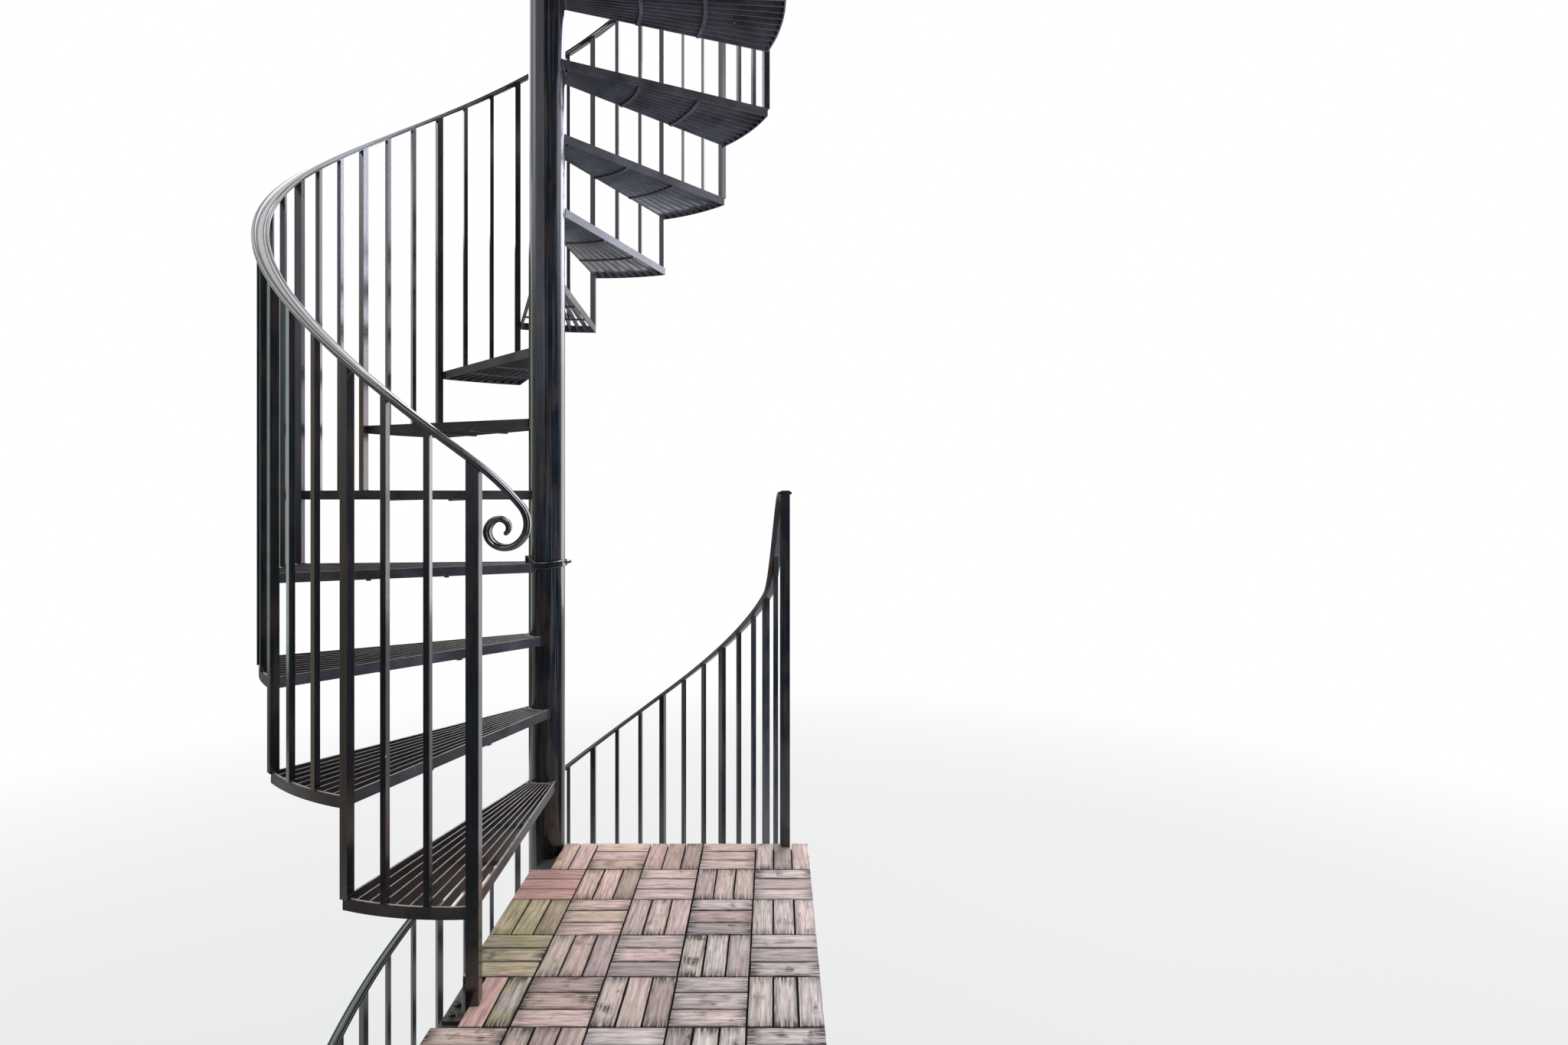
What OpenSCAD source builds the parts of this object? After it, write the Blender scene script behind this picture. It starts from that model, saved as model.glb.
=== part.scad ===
// Outdoor spiral stair of black painted steel.
// Two flights wind clockwise, seen from above, round one centre pole, with a wood-decked landing after each.
// Millimetres, +Z up. The origin is the middle of the base plate's underside, on the ground.
// Compass angles are used: 0 is +Y, 90 is +X, and they grow clockwise, the way the stair climbs.

/* [Flights] */
// Height of one step, from tread top to tread top
rise = 208.3; // [185:0.1:225]
// Treads from the ground to the mid landing
lower_treads = 14; // [8:1:14]
// Treads from the mid landing to the top landing, in three quarters of a turn
upper_treads = 12; // [10:1:13]
// Radius of the middle of the rim, which is also that of the balusters and the handrail
rim_r = 695; // [600:1:900]
// Angle between the last tread's rear edge and the edge of its landing
edge_lag = 1.2; // [1.2:0.1:5]
// Angle by which the upper flight's newel stands inside the edge of the mid landing
newel_lag = 4.8; // [3:0.1:6]

/* [Centre pole] */
// Outer diameter of the pole
pole_d = 101.6; // [88.9:0.1:114.3]
// Wall of the pole
pole_wall = 4.8; // [3:0.1:8]
// Diameter of the base plate
base_d = 300; // [260:1:400]
// Thickness of the base plate
base_t = 12.7; // [8:0.1:20]
// Diameter of the anchor holes
anchor_d = 14; // [10:0.5:18]
// Diameter of the circle that the anchor holes lie on
anchor_circle = 240; // [200:1:250]
// Number of anchor holes
anchor_count = 4; // [3:1:8]

/* [Treads] */
// Depth of the flats that frame a tread
frame_h = 25.4; // [22:0.1:40]
// Thickness of the flats that frame a tread
frame_t = 4.8; // [4:0.1:8]
// Distance between the front and rear flats where they pass the pole
root_w = 70; // [60:1:86]
// Distance of the lowest front flat's outer face from the newel's middle
newel_off = 6; // [0:0.1:12]
// Bars inside one tread
bar_count = 8; // [4:1:12]
// Thickness of a bar
bar_t = 3.2; // [3:0.1:4.5]
// Depth of a bar
bar_h = 24.6; // [12:0.1:26]
// Depth of the bars' tops below the frame's top
bar_drop = 0.8; // [0.5:0.1:1.5]
// Radius of the inner cross bar, bent to an arc round the pole
cross_r1 = 270; // [200:1:320]
// Radius of the outer cross bar
cross_r2 = 460; // [380:1:560]
// Width of a cross bar
cross_w = 11; // [8:0.1:20]
// Thickness of a cross bar
cross_t = 5; // [3:0.1:6]

/* [Guard] */
// Height of the handrail's top above the line of the tread noses
guard_h = 905; // [850:1:1000]
// Height of the guard above a landing's deck
landing_guard_h = 1026; // [1000:1:1100]
// Side of a main baluster, one at each tread joint
main_w = 19; // [16:0.1:22]
// Side of a fill baluster, two between main ones
fill_w = 12.7; // [10:0.1:16]
// Side of the newels and posts
post_w = 25.4; // [22:0.1:38.1]
// Width of the handrail
rail_w = 38; // [34:0.5:50]
// Thickness of the handrail
rail_t = 14; // [12:0.5:20]
// Radius at which the scroll starts to curl
scroll_r = 61; // [45:1:75]
// How fast the scroll tightens
scroll_k = 0.198; // [0.15:0.001:0.25]
// Turn of the scroll in degrees
scroll_turn = 465; // [300:5:520]

/* [Landings] */
// Width of the landings, along +X
landing_w = 762; // [740:1:960]
// Length of the landings, along -Y
landing_l = 914.4; // [838:0.1:1100]
// Thickness of the wood deck
deck_t = 25.4; // [19:0.1:40]
// Height of the wood deck above the level that the flights were built to
deck_lift = 15; // [0:1:25]
// Side of one block of deck slats
block_w = 152.4; // [150:0.1:154]
// Gap between the slats
slat_gap = 3.8; // [3:0.1:6]
// Depth of the gaps, down to the plastic grid that the slats are clipped to
slat_h = 18; // [8:0.1:18]
// Depth of the steel edge under the deck
edge_h = 101.6; // [76:0.1:150]
// Width of the edge's top leg, which the deck and the posts stand on
edge_leg = 50.8; // [50.8:0.1:76]
// Thickness of the edge steel
edge_t = 6.4; // [5:0.1:10]
// Joists under a landing's deck
joist_count = 2; // [1:1:4]
// Depth of a joist
joist_h = 50.8; // [38.1:0.1:76]
// Thickness of a joist
joist_t = 6.4; // [5:0.1:10]

/* [Hidden] */
$fn = 96;
// Gap of a welded or bolted seat
seat = 0.25;
// Depth by which pieces of one weldment run into each other
lap = 1;
steel = [0.13, 0.13, 0.14];
dusty_steel = [0.20, 0.19, 0.19];
wood = [0.47, 0.37, 0.33];

pole_r = pole_d / 2;
turn = 360;
landing_edge = turn / 4;
landing_span = turn / 4;
// The upper flight leaves the mid landing near its south edge and meets the top one at its east edge
pitch = (turn - landing_span + newel_lag - edge_lag) / upper_treads;
lower_start = turn + landing_edge - edge_lag - lower_treads * pitch;
upper_start = turn + landing_edge + landing_span - newel_lag;
mid_floor = (lower_treads + 1) * rise;
mid_z = mid_floor + deck_lift;
top_z = mid_z + (upper_treads + 1) * rise;
// A flight: start angle, number of treads, level of the floor it starts from
lower = [lower_start, lower_treads, 0];
upper = [upper_start, upper_treads, mid_floor];

slope = atan(rise / (rim_r * pitch * PI / 180));
rail_half = rail_t / 2;
pole_top = top_z + landing_guard_h + rail_w;

// Compass direction in plan
function out_dir(a) = [sin(a), cos(a), 0];
function down_dir(a) = [-cos(a), sin(a), 0];
function clamp01(t) = min(1, max(0, t));
function smooth01(t) = let (c = clamp01(t)) c * c * (3 - 2 * c);

// The handrail's middle line: a helix that sweeps up to the post at the landing
ease_span = 16;
ease_before = 22;
function flight_end(f) = f[0] + f[1] * pitch + edge_lag;
function helix_z(f, a) = f[2] + rise * (1 + (a - f[0]) / pitch) + guard_h - rail_half / cos(slope);
function end_z(f) = f[2] + rise * (f[1] + 1) + deck_lift + landing_guard_h - rail_half;
function ease(f, a) = smooth01((a - flight_end(f) + ease_before) / ease_span);
function rail_z(f, a) = helix_z(f, a) * (1 - ease(f, a)) + end_z(f) * ease(f, a);
function rail_slope(f, a) = atan((rail_z(f, a + 0.2) - rail_z(f, a - 0.2)) / (rim_r * 0.4 * PI / 180));
function rail_under(f, a) = rail_z(f, a) - rail_half / cos(rail_slope(f, a)) - seat;

// The scroll: a shallow bend past the newel, then a logarithmic spiral in the upright plane that touches the rim
lead_len = 130;
lead_bend = 14;
lead_r = lead_len / (lead_bend * PI / 180);
function lead_point(g) = lead_r * [sin(g) - sin(slope), cos(g) - cos(slope)];
scroll_lag = atan(scroll_k);
function spiral_arm(t) = let (p = 90 + scroll_lag - slope - lead_bend - t)
    scroll_r * exp(-scroll_k * t * PI / 180) * [cos(p), sin(p)];
function spiral_point(t) = lead_point(slope + lead_bend) + spiral_arm(t) - spiral_arm(0);
function scroll_place(f, p) = rim_r * out_dir(f[0]) + p[0] * down_dir(f[0]) + [0, 0, rail_z(f, f[0]) + p[1]];

// Rings of the handrail, from the landing's post down to the scroll's tip: place and sideways direction
helix_step = pitch / 6;
ease_step = 2;
scroll_step = 15;
function rail_rings(f) = let (e = flight_end(f) - (seat * 180 / PI) / rim_r, m = flight_end(f) - ease_before)
    concat(
        [for (a = [e : -ease_step : m]) [rim_r * out_dir(a) + [0, 0, rail_z(f, a)], out_dir(a)]],
        [for (a = [m - helix_step / 2 : -helix_step : f[0] + helix_step / 3])
            [rim_r * out_dir(a) + [0, 0, rail_z(f, a)], out_dir(a)]],
        [for (g = [0 : lead_bend / 4 : lead_bend * 0.99]) [scroll_place(f, lead_point(slope + g)), out_dir(f[0])]],
        [for (t = [0 : scroll_step : scroll_turn]) [scroll_place(f, spiral_point(t)), out_dir(f[0])]]);

// Half of the moulded cap rail's section, across and up, from the middle of its underside
half_section = [[0.29, -0.5], [0.29, -0.28], [0.46, -0.16], [0.5, 0.07], [0.41, 0.31], [0.32, 0.2], [0.28, 0.33],
    [0.16, 0.47]];
section = concat(
    [[0, -rail_half]],
    [for (p = half_section) [p[0] * rail_w, p[1] * rail_t]],
    [[0, rail_half]],
    [for (i = [len(half_section) - 1 : -1 : 0]) [-half_section[i][0] * rail_w, half_section[i][1] * rail_t]]);

function unit(v) = v / norm(v);
function ring_points(rings, i) = let (
    last = len(rings) - 1,
    t = unit(rings[min(i + 1, last)][0] - rings[max(i - 1, 0)][0]),
    s = rings[i][1],
    n = unit(cross(s, t)))
    [for (p = section) rings[i][0] + p[0] * s + p[1] * n];

module rail_sweep(rings) {
    k = len(section);
    count = len(rings);
    last = (count - 1) * k;
    points = [for (i = [0 : count - 1]) each ring_points(rings, i)];
    sides = [for (j = [0 : count - 2], i = [0 : k - 1]) let (a = j * k + i, b = j * k + (i + 1) % k)
        each [[a, b, b + k], [a, b + k, a + k]]];
    top_end = [for (i = [1 : k - 2]) [0, i + 1, i]];
    tip_end = [for (i = [1 : k - 2]) [last, last + i, last + i + 1]];
    polyhedron(points = points, faces = concat(sides, top_end, tip_end), convexity = 10);
}

// A turn to a compass angle: local +X points outward
module at_angle(a) {
    rotate([0, 0, 90 - a])
        children();
}

// One tread, its top at z = 0 and its middle line along local +X. The leading edge is on the +Y side.
// lead_w is the side of the baluster or newel at its leading corner, and lead_off the distance of the front flat's
// outer face from that bar's middle. A flat that would run into the bar ends at a notch.
module tread(lead_w, lead_off) {
    half = root_w / 2;
    lead_r = rim_r - lead_w / 2;
    front_turn = pitch / 2 - asin(lead_off / lead_r) - asin(half / lead_r);
    rear_turn = pitch / 2 + asin(main_w / 2 / rim_r) - asin(half / rim_r);
    plate_x = pole_r + seat - lap;
    far = 2 * rim_r;
    // Half widths at distance x from the pole's axis, to a line that lies off from the outer faces by inset
    function front_y(x, inset) = (half - inset) / cos(front_turn) + x * tan(front_turn);
    function rear_y(x, inset) = -(half - inset) / cos(rear_turn) - x * tan(rear_turn);
    function wedge(x0, x1, inset) = [[x0, front_y(x0, inset)], [x1, front_y(x1, inset)], [x1, rear_y(x1, inset)],
        [x0, rear_y(x0, inset)]];
    // Frame: curved rim, front and rear flats, and the plate that is coped round the pole
    translate([0, 0, -frame_h])
        linear_extrude(height = frame_h)
            difference() {
                intersection() {
                    circle(r = rim_r + frame_t / 2);
                    polygon(wedge(0, far, 0));
                }
                intersection() {
                    circle(r = rim_r - frame_t / 2);
                    polygon(wedge(plate_x + frame_t, far, frame_t));
                }
                polygon(wedge(0, plate_x, frame_t));
                circle(r = pole_r + seat);
                if (lead_off < lead_w / 2)
                    rotate(pitch / 2)
                        translate([rim_r, 0])
                            square(lead_w + 2 * seat, center = true);
            }
    // Fanned bars, let into the plate and the rim
    mid = frame_t / 2;
    bar_x = plate_x + mid;
    rim_x = rim_r * cos(pitch / 2);
    front_a = atan2(front_y(rim_x, mid), rim_x);
    rear_a = atan2(rear_y(rim_x, mid), rim_x);
    for (i = [1 : bar_count]) {
        part = i / (bar_count + 1);
        start = [bar_x, front_y(bar_x, mid) * part + rear_y(bar_x, mid) * (1 - part)];
        a = front_a * part + rear_a * (1 - part);
        run = rim_r * [cos(a), sin(a)] - start;
        translate([start[0], start[1], -bar_drop - bar_h])
            rotate([0, 0, atan2(run[1], run[0])])
                translate([0, -bar_t / 2, 0])
                    cube([norm(run), bar_t, bar_h]);
    }
    // Cross bars under the fanned ones, each an arc round the pole
    translate([0, 0, lap - bar_drop - bar_h - cross_t])
        linear_extrude(height = cross_t)
            intersection() {
                for (r = [cross_r1, cross_r2])
                    difference() {
                        circle(r = r + cross_w / 2);
                        circle(r = r - cross_w / 2);
                    }
                polygon(wedge(0, far, mid));
            }
}

module flight_tread(f, i) {
    color(dusty_steel)
        translate([0, 0, f[2] + i * rise])
            at_angle(f[0] + (i - 0.5) * pitch)
                if (i == 1)
                    tread(post_w, newel_off);
                else
                    tread(main_w, main_w / 2 + seat);
}

module lower_tread(i) {
    flight_tread(lower, i);
}

module upper_tread(i) {
    flight_tread(upper, i);
}

// A square bar whose top is cut to the handrail's slope. It stands at compass angle a on level z0.
module sloped_bar(f, a, w, z0) {
    z1 = rail_under(f, a);
    spare = 2 * w;
    at_angle(a)
        translate([rim_r, 0, 0])
            difference() {
                translate([-w / 2, -w / 2, z0])
                    cube([w, w, z1 + spare - z0]);
                translate([0, 0, z1])
                    rotate([-rail_slope(f, a), 0, 0])
                        translate([-w, -2 * spare, 0])
                            cube([2 * w, 4 * spare, 4 * spare]);
            }
}

module main_balusters(f) {
    color(steel)
        for (i = [1 : f[1] - 1])
            sloped_bar(f, f[0] + i * pitch, main_w, f[2] + i * rise);
}

module fill_balusters(f) {
    color(steel)
        for (i = [1 : f[1]], j = [1, 2])
            sloped_bar(f, f[0] + (i - 1 + j / 3) * pitch, fill_w, f[2] + i * rise);
}

module lower_main_balusters() {
    main_balusters(lower);
}

module lower_fill_balusters() {
    fill_balusters(lower);
}

module upper_main_balusters() {
    main_balusters(upper);
}

module upper_fill_balusters() {
    fill_balusters(upper);
}

module lower_handrail() {
    color(steel)
        rail_sweep(rail_rings(lower));
}

module upper_handrail() {
    color(steel)
        rail_sweep(rail_rings(upper));
}

// Round base plate with its anchor holes
module base_plate() {
    color(steel)
        difference() {
            cylinder(d = base_d, h = base_t);
            for (i = [0 : anchor_count - 1])
                rotate([0, 0, (i + 0.5) * turn / anchor_count])
                    translate([anchor_circle / 2, 0, -lap])
                        cylinder(d = anchor_d, h = base_t + 2 * lap);
        }
}

module centre_pole() {
    color(steel)
        translate([0, 0, base_t])
            difference() {
                cylinder(d = pole_d, h = pole_top - base_t);
                translate([0, 0, -lap])
                    cylinder(d = pole_d - 2 * pole_wall, h = pole_top - base_t + 2 * lap);
            }
}

// Domed cap on the pole
cap_h = 22;
dome_r = (pole_r * pole_r + cap_h * cap_h) / (2 * cap_h);
module pole_cap() {
    color(steel)
        translate([0, 0, pole_top])
            rotate_extrude()
                intersection() {
                    square([pole_r, cap_h]);
                    translate([0, cap_h - dome_r])
                        circle(r = dome_r);
                }
}

// Steel band round the pole just above the fourth tread, with two ears and their bolt on the east side
clamp_h = 18;
clamp_t = 4;
clamp_tread = 4;
ear_l = 20;
ear_gap = 6;
clamp_bolt_d = 8;
clamp_bolt_x = 12;
module pole_clamp() {
    color(steel)
        translate([0, 0, mid_floor + clamp_tread * rise + seat]) {
            difference() {
                union() {
                    cylinder(r = pole_r + clamp_t, h = clamp_h);
                    translate([pole_r, -ear_gap / 2 - clamp_t, 0])
                        cube([ear_l, ear_gap + 2 * clamp_t, clamp_h]);
                }
                translate([0, 0, -lap])
                    cylinder(r = pole_r + seat, h = clamp_h + 2 * lap);
                translate([0, -ear_gap / 2, -lap])
                    cube([pole_r + ear_l + clamp_t, ear_gap, clamp_h + 2 * lap]);
            }
            translate([pole_r + clamp_bolt_x, 0, clamp_h / 2])
                rotate([90, 0, 0])
                    cylinder(d = clamp_bolt_d, h = ear_gap + 2 * clamp_t + clamp_bolt_d, center = true);
        }
}

// The newels at the foot of the flights, each on a foot plate for two bolts
foot_t = 8;
foot_bolt_d = 11;
ground_foot_w = 90;
ground_foot_bolts = 60;
module bottom_newel() {
    color(steel) {
        sloped_bar(lower, lower_start, post_w, foot_t - lap);
        at_angle(lower_start)
            translate([rim_r, 0, 0])
                difference() {
                    translate([-ground_foot_w / 2, -ground_foot_w / 2, 0])
                        cube([ground_foot_w, ground_foot_w, foot_t]);
                    for (side = [-1, 1])
                        translate([side * ground_foot_bolts / 2, side * ground_foot_bolts / 2, -lap])
                            cylinder(d = foot_bolt_d, h = foot_t + 2 * lap);
                }
    }
}

// The mid newel stands at the end of a plate that is bolted to the landing's west edge
newel_at = rim_r * out_dir(upper_start);
newel_foot_w = 60;
newel_foot_x = 6;
module mid_newel() {
    color(steel) {
        sloped_bar(upper, upper_start, post_w, mid_z - deck_t + foot_t - lap);
        translate([0, newel_at[1], mid_z - deck_t])
            difference() {
                translate([newel_foot_x, -newel_foot_w / 2, 0])
                    cube([newel_at[0] + post_w / 2 - newel_foot_x, newel_foot_w, foot_t]);
                for (side = [-1, 1])
                    translate([newel_foot_x + newel_foot_w / 4, side * newel_foot_w / 4, -lap])
                        cylinder(d = foot_bolt_d, h = foot_t + 2 * lap);
            }
    }
}

// The post at a landing's edge, where the flight below ends
module corner_post(z) {
    color(steel)
        translate([rim_r - post_w / 2, -post_w, z - deck_t])
            cube([post_w, post_w, deck_t + landing_guard_h + lap]);
}

module mid_corner_post() {
    corner_post(mid_z);
}

module top_corner_post() {
    corner_post(top_z);
}

// One edge of a landing: an angle with its upright leg outside, along local +X from the origin
module edge_angle(len) {
    translate([0, -edge_t, -edge_h])
        cube([len, edge_t, edge_h]);
    translate([0, -edge_leg, -edge_t])
        cube([len, edge_leg, edge_t]);
}

// Steel frame under a landing whose deck top is at z. The pole passes through its north-west corner.
module landing_frame(z) {
    color(steel)
        translate([0, 0, z - deck_t])
            difference() {
                union() {
                    edge_angle(landing_w);
                    translate([0, -landing_l, 0])
                        rotate([0, 0, 90])
                            edge_angle(landing_l);
                    translate([landing_w, 0, 0])
                        rotate([0, 0, -90])
                            edge_angle(landing_l);
                    translate([landing_w, -landing_l, 0])
                        rotate([0, 0, 180])
                            edge_angle(landing_w);
                    for (i = [1 : joist_count])
                        translate([edge_t - lap, -landing_l * i / (joist_count + 1) - joist_t / 2, -joist_h])
                            cube([landing_w - 2 * edge_t + 2 * lap, joist_t, joist_h]);
                }
                translate([0, 0, -2 * edge_h])
                    cylinder(r = pole_r + seat, h = 3 * edge_h);
            }
}

module mid_landing_frame() {
    landing_frame(mid_z);
}

module top_landing_frame() {
    landing_frame(top_z);
}

// Deck of wood blocks, three slats to a block, laid in turn along and across. One slat is left out at the newel, one
// where the pole comes through, and a corner is cut at the post.
slats = 3;
slat_w = block_w / slats;
// The least share of a block that is laid as one
part_block = 0.05;
columns = ceil(landing_w / block_w - part_block);
rows = ceil(landing_l / block_w - part_block);
newel_row = floor(-newel_at[1] / block_w);
notch_gap = 4;
module deck_gap(x0, y0, x1, y1) {
    translate([x0 - slat_gap / 2, y0 - slat_gap / 2, deck_t - slat_h])
        cube([x1 - x0 + slat_gap, y1 - y0 + slat_gap, slat_h + lap]);
}

module block_gaps(i, j) {
    x0 = i * block_w;
    y1 = -j * block_w;
    for (k = [1 : slats - 1])
        if ((i + j) % 2 == 0)
            deck_gap(x0 + k * slat_w, y1 - block_w, x0 + k * slat_w, y1);
        else
            deck_gap(x0, y1 - k * slat_w, x0 + block_w, y1 - k * slat_w);
}

module landing_deck(z) {
    notch_y = newel_foot_w / 2 + notch_gap;
    color(wood)
        translate([0, 0, z - deck_t])
            difference() {
                translate([0, -landing_l, 0])
                    cube([landing_w, landing_l, deck_t]);
                // Gaps between blocks, then between the slats of each block
                for (i = [1 : columns - 1])
                    deck_gap(i * block_w, -rows * block_w, i * block_w, 0);
                for (j = [1 : rows - 1])
                    deck_gap(0, -j * block_w, columns * block_w, -j * block_w);
                for (i = [0 : columns - 1], j = [0 : rows - 1])
                    block_gaps(i, j);
                // Notches at the pole, the left-out slat, the newel and the corner post
                translate([-lap, -block_w, -lap])
                    cube([pole_r + notch_gap + lap, block_w + lap, deck_t + 2 * lap]);
                translate([-lap, -(newel_row + 1) * block_w, -lap])
                    cube([slat_w + lap, block_w, deck_t + 2 * lap]);
                translate([-lap, newel_at[1] - notch_y, -lap])
                    cube([newel_at[0] + post_w / 2 + notch_gap + lap, 2 * notch_y, deck_t + 2 * lap]);
                translate([rim_r - post_w / 2 - notch_gap, -post_w - notch_gap, -lap])
                    cube([post_w + 2 * notch_gap, post_w + notch_gap + lap, deck_t + 2 * lap]);
            }
}

module mid_landing_deck() {
    landing_deck(mid_z);
}

// The top deck also has its south-west corner cut for the guard's post
module top_landing_deck() {
    difference() {
        landing_deck(top_z);
        translate([-lap, -landing_l - lap, top_z - deck_t - lap])
            cube([guard_x + post_w / 2 + notch_gap + lap, landing_l + guard_post_y + post_w / 2 + notch_gap + lap,
                deck_t + 2 * lap]);
    }
}

// Straight guard on the open west side of the top landing, from the pole to a post at the corner
guard_x = edge_leg / 2;
guard_post_y = -landing_l + edge_leg / 2;
guard_pickets = 7;
bottom_rail_h = 75;
bottom_rail_t = 9.5;
module guard_section() {
    polygon(section);
}

module top_guard_rail() {
    color(steel)
        difference() {
            translate([guard_x, 0, top_z + landing_guard_h - rail_half])
                rotate([90, 0, 0])
                    linear_extrude(height = -guard_post_y - post_w / 2 - seat)
                        guard_section();
            translate([0, 0, top_z])
                cylinder(r = pole_r + seat, h = 2 * landing_guard_h);
        }
}

module top_guard_post() {
    color(steel)
        translate([guard_x - post_w / 2, guard_post_y - post_w / 2, top_z - deck_t])
            cube([post_w, post_w, deck_t + landing_guard_h + lap]);
}

module top_guard_infill() {
    span = -guard_post_y - post_w / 2 - pole_r;
    color(steel)
        difference() {
            union() {
                translate([guard_x - post_w / 2, guard_post_y + post_w / 2 + seat, top_z + bottom_rail_h])
                    cube([post_w, -guard_post_y - post_w / 2 - seat, bottom_rail_t]);
                for (i = [1 : guard_pickets])
                    translate([guard_x - fill_w / 2, -pole_r - span * i / (guard_pickets + 1) - fill_w / 2,
                        top_z + bottom_rail_h + bottom_rail_t - lap])
                        cube([fill_w, fill_w, landing_guard_h - rail_t - bottom_rail_h - bottom_rail_t + lap - seat]);
            }
            translate([0, 0, top_z])
                cylinder(r = pole_r + seat, h = landing_guard_h);
        }
}

function two_digits(i) = i < 10 ? str("0", i) : str(i);
function lower_name(i) = str("lower_tread_", two_digits(i));
function upper_name(i) = str("upper_tread_", two_digits(i));

base_plate();
centre_pole();
pole_cap();
pole_clamp();
for (i = [1 : lower_treads]) lower_tread(i);
for (i = [1 : upper_treads]) upper_tread(i);
lower_main_balusters();
lower_fill_balusters();
upper_main_balusters();
upper_fill_balusters();
bottom_newel();
mid_newel();
mid_corner_post();
top_corner_post();
lower_handrail();
upper_handrail();
mid_landing_frame();
mid_landing_deck();
top_landing_frame();
top_landing_deck();
top_guard_rail();
top_guard_post();
top_guard_infill();
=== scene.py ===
# %% [markdown]
# # An outdoor spiral stair of black painted steel
# The real stair is welded from tube, flat bar and square bar, with two decks of wood tiles. Its solids come packed
# from the CAD model: pole, treads, balusters, newels, landings. They could be modelled again here, but they are
# exact already, so this lesson only gives them their finish. It makes anew what the solids block out: the moulded
# handrails with their scrolls, the slats, the band on the pole, the welds and the bolts.

import math
import random

import bmesh
import bpy
from mathutils import Matrix, Vector


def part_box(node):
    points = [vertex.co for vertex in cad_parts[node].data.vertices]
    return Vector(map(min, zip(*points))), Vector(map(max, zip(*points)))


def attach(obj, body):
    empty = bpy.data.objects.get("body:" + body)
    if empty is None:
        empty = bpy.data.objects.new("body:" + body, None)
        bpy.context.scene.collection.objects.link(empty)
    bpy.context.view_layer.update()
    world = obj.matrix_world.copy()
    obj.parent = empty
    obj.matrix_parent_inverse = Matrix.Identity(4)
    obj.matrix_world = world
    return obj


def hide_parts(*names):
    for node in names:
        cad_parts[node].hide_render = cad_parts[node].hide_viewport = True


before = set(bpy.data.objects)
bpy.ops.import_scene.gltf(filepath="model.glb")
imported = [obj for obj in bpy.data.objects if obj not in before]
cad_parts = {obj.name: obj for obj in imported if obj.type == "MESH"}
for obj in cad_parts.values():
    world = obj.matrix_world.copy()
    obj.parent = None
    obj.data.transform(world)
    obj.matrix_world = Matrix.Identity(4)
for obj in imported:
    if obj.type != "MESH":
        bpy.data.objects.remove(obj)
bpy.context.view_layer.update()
print("CAD nodes:", len(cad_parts))

# %% [markdown]
# ## The camera
# The photograph was taken level, with a wide lens. A camera could be turned by eye until the picture fits, but the
# corners of the deck's blocks gave its place by measure: 2.24 m in front of the pole and 1.04 m above the deck. The
# small shift puts the horizon where the photograph has it.

# %% Camera
FRAME_WIDTH = 2048
FOCAL_PX = 1004
HORIZON = (1012, 636)
FRAME_MIDDLE = (1024, 682.5)
EYE_X, EYE_Y, EYE_OVER_DECK = 0.664, -2.24, 1.0375

lens = bpy.data.cameras.new("view")
lens.sensor_width = 36
lens.lens = lens.sensor_width * FOCAL_PX / FRAME_WIDTH
lens.shift_x = (FRAME_MIDDLE[0] - HORIZON[0]) / FRAME_WIDTH
lens.shift_y = -(FRAME_MIDDLE[1] - HORIZON[1]) / FRAME_WIDTH
camera = bpy.data.objects.new("view", lens)
bpy.context.scene.collection.objects.link(camera)
camera.location = (EYE_X, EYE_Y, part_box("mid_landing_deck")[1][2] + EYE_OVER_DECK)
camera.rotation_euler = (math.radians(90), 0, 0)
bpy.context.scene.camera = camera
print("lens %.2f mm, shift %.4f %.4f" % (lens.lens, lens.shift_x, lens.shift_y))

# %% [markdown]
# ## Sizes
# The new pieces have to land on the CAD solids, so they share the stair's sizes, in metres. All could be measured
# on the solids, but a few driving sizes are easier to follow. Compass angles are used as on the drawing: 0 is +Y,
# 90 is +X, and they grow clockwise, the way the stair climbs. A flight ends a small lag before one edge of its
# landing, and the upper newel stands another lag before the other edge.

# %% Sizes of the stair
RISE = 0.2083
RIM_R = 0.695
POLE_R = 0.0508
DECK_LIFT = 0.015
UPPER_COUNT, LOWER_COUNT = 12, 14
EDGE_LAG, NEWEL_LAG = 1.2, 4.8
PITCH = (270 + NEWEL_LAG - EDGE_LAG) / UPPER_COUNT
MID_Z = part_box("mid_landing_deck")[1][2]
TOP_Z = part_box("top_landing_deck")[1][2]
LOWER = {"start": 450 - EDGE_LAG - LOWER_COUNT * PITCH, "count": LOWER_COUNT, "floor": 0.0}
UPPER = {"start": 540 - NEWEL_LAG, "count": UPPER_COUNT, "floor": MID_Z - DECK_LIFT}


def out_dir(angle):
    """The way out from the pole."""
    return Vector((math.sin(math.radians(angle)), math.cos(math.radians(angle)), 0))


def down_dir(angle):
    """The level way along the circle, down the stair."""
    return Vector((-math.cos(math.radians(angle)), math.sin(math.radians(angle)), 0))


def lift(height):
    return Vector((0, 0, height))


print("mid landing %.3f m, top landing %.3f m, a tread each %.1f degrees" % (MID_Z, TOP_Z, PITCH))

# %% [markdown]
# ## Helpers for finishes
# A finish could be built in the shader editor, node by node. In code it needs three small helpers. Colours are
# picked as they look on a screen, so the first turns a hex value into the linear light that the shader wants. The
# second fills a node's sockets, with values or with links, and the third adds a node with its settings.

# %% Colour and node helpers


def linear(hex_colour):
    parts = [int(hex_colour[i:i + 2], 16) / 255 for i in (1, 3, 5)]
    return [p / 12.92 if p <= 0.04045 else ((p + 0.055) / 1.055) ** 2.4 for p in parts] + [1.0]


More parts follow.
